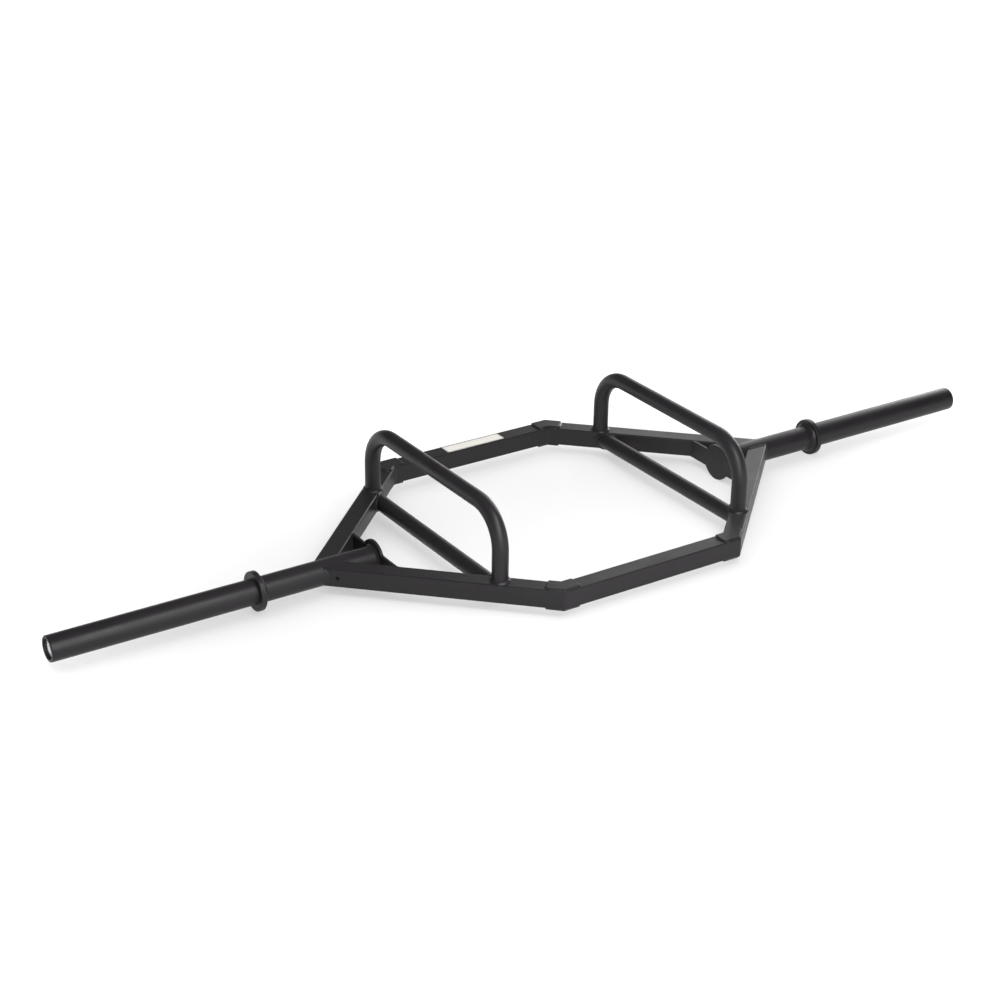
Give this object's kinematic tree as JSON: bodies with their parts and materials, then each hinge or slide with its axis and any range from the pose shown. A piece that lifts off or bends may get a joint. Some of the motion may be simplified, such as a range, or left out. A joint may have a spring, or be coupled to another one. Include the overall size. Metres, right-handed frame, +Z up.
{
  "type": "hex trap bar",
  "caption": "Welded hexagonal deadlift bar: square-tube frame with straight sleeves for weight plates, raised and low grip handles, stop collars and corner gussets.",
  "frame": {"origin": "on the floor under the middle of the bar, level with the lowest point of the collars", "axes": "+X along the sleeves to the lifter's right, +Y to the rear rail, +Z up"},
  "size_m": [2.162, 0.676, 0.2095],
  "materials": {
    "powder_coat": "fine-textured satin black powder coat on steel",
    "label": "pale satin film, blank",
    "end_plug": "bare turned steel"
  },
  "bodies": {
    "root": {"front_rail": "powder_coat", "rear_rail": "powder_coat", "blank_label": "label", "right_front_diagonal": "powder_coat", "right_front_top_gusset": "powder_coat", "right_front_bottom_gusset": "powder_coat", "right_rear_diagonal": "powder_coat", "right_rear_top_gusset": "powder_coat", "right_rear_bottom_gusset": "powder_coat", "left_front_diagonal": "powder_coat", "left_front_top_gusset": "powder_coat", "left_front_bottom_gusset": "powder_coat", "left_rear_diagonal": "powder_coat", "left_rear_top_gusset": "powder_coat", "left_rear_bottom_gusset": "powder_coat", "right_sleeve": "powder_coat", "right_collar": "powder_coat", "right_sleeve_plug": "end_plug", "right_hub_plate": "powder_coat", "right_raised_handle": "powder_coat", "right_low_handle": "powder_coat", "left_sleeve": "powder_coat", "left_collar": "powder_coat", "left_sleeve_plug": "end_plug", "left_hub_plate": "powder_coat", "left_raised_handle": "powder_coat", "left_low_handle": "powder_coat"}
  },
  "joints": []
}
